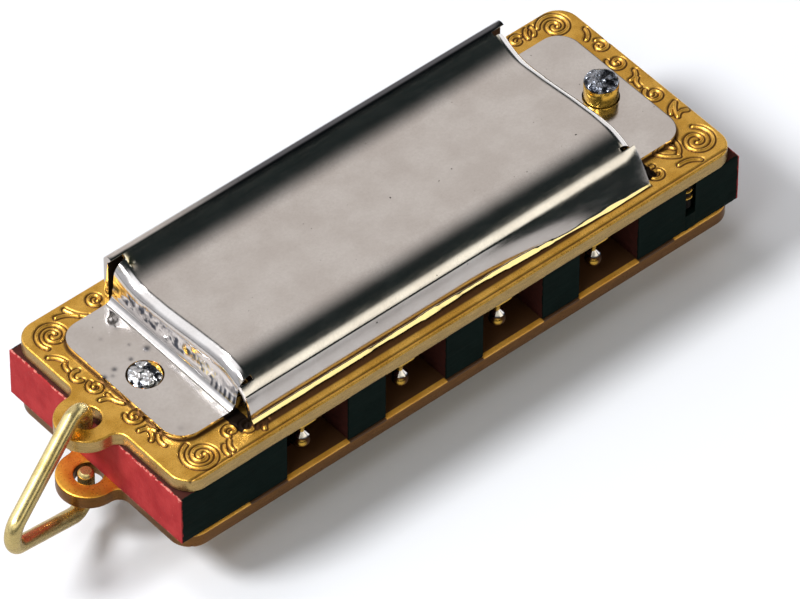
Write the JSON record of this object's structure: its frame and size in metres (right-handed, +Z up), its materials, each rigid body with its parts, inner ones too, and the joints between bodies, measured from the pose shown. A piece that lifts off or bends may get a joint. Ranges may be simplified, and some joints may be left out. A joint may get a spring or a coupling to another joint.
{
  "type": "miniature harmonica",
  "caption": "Miniature harmonica: plated covers pinned over brass reed plates on a wooden comb, open holes along the front, and a wire bail that swings at one end.",
  "frame": {"origin": "middle of the bounding box's footprint at the lowest point, the lower cover's ridge", "axes": "+X along the instrument, away from the bail; -Y is the side that is blown into; +Z up through the reed plates"},
  "size_m": [0.042, 0.013, 0.0103],
  "materials": {
    "comb_wood": "red paint on the ends, near-black stain on the front",
    "plate_brass": "bright, engraved with scrolls round the edge",
    "cover_plating": "polished plating with small dents and scuffs",
    "pin_brass": "drawn brass with rough, silvery peened ends",
    "rivet_brass": "bright",
    "reed_brass": "filed, satin",
    "bail_brass": "drawn wire"
  },
  "bodies": {
    "harmonica_body": {"comb": "comb_wood", "upper_reed_plate": "plate_brass", "lower_reed_plate": "plate_brass", "upper_cover": "cover_plating", "lower_cover": "cover_plating", "left_pin": "pin_brass", "right_pin": "pin_brass", "plate_nail": "rivet_brass", "blow_rivet_1": "rivet_brass", "blow_rivet_2": "rivet_brass", "blow_rivet_3": "rivet_brass", "blow_rivet_4": "rivet_brass", "draw_rivet_1": "rivet_brass", "draw_rivet_2": "rivet_brass", "draw_rivet_3": "rivet_brass", "draw_rivet_4": "rivet_brass"},
    "bail": {"bail": "bail_brass"},
    "blow_reed_1": {"blow_reed_1": "reed_brass"},
    "blow_reed_2": {"blow_reed_2": "reed_brass"},
    "blow_reed_3": {"blow_reed_3": "reed_brass"},
    "blow_reed_4": {"blow_reed_4": "reed_brass"},
    "draw_reed_1": {"draw_reed_1": "reed_brass"},
    "draw_reed_2": {"draw_reed_2": "reed_brass"},
    "draw_reed_3": {"draw_reed_3": "reed_brass"},
    "draw_reed_4": {"draw_reed_4": "reed_brass"}
  },
  "joints": [
    {"name": "bail_swing", "type": "hinge", "parent": "harmonica_body", "child": "bail", "pos_m": [-0.01456, 0, 0.00515], "axis": [0, 0, 1], "range_deg": [-107, 69]},
    {"name": "blow_reed_1_flex", "type": "hinge", "parent": "harmonica_body", "child": "blow_reed_1", "pos_m": [-0.00616, -0.00585, 0.00657], "axis": [1, 0, 0], "range_deg": [-3.5, 3.5], "stiffness_Nm_per_rad": 0.001},
    {"name": "blow_reed_2_flex", "type": "hinge", "parent": "harmonica_body", "child": "blow_reed_2", "pos_m": [-0.00006, -0.00585, 0.00657], "axis": [1, 0, 0], "range_deg": [-3.5, 3.5], "stiffness_Nm_per_rad": 0.001},
    {"name": "blow_reed_3_flex", "type": "hinge", "parent": "harmonica_body", "child": "blow_reed_3", "pos_m": [0.00604, -0.00585, 0.00657], "axis": [1, 0, 0], "range_deg": [-3.5, 3.5], "stiffness_Nm_per_rad": 0.001},
    {"name": "blow_reed_4_flex", "type": "hinge", "parent": "harmonica_body", "child": "blow_reed_4", "pos_m": [0.01214, -0.00585, 0.00657], "axis": [1, 0, 0], "range_deg": [-3.5, 3.5], "stiffness_Nm_per_rad": 0.001},
    {"name": "draw_reed_1_flex", "type": "hinge", "parent": "harmonica_body", "child": "draw_reed_1", "pos_m": [-0.00616, 0.0047, 0.00271], "axis": [1, 0, 0], "range_deg": [-3.5, 3.5], "stiffness_Nm_per_rad": 0.001},
    {"name": "draw_reed_2_flex", "type": "hinge", "parent": "harmonica_body", "child": "draw_reed_2", "pos_m": [-0.00006, 0.0047, 0.00271], "axis": [1, 0, 0], "range_deg": [-3.5, 3.5], "stiffness_Nm_per_rad": 0.001},
    {"name": "draw_reed_3_flex", "type": "hinge", "parent": "harmonica_body", "child": "draw_reed_3", "pos_m": [0.00604, 0.0047, 0.00271], "axis": [1, 0, 0], "range_deg": [-3.5, 3.5], "stiffness_Nm_per_rad": 0.001},
    {"name": "draw_reed_4_flex", "type": "hinge", "parent": "harmonica_body", "child": "draw_reed_4", "pos_m": [0.01214, 0.0047, 0.00271], "axis": [1, 0, 0], "range_deg": [-3.5, 3.5], "stiffness_Nm_per_rad": 0.001}
  ]
}
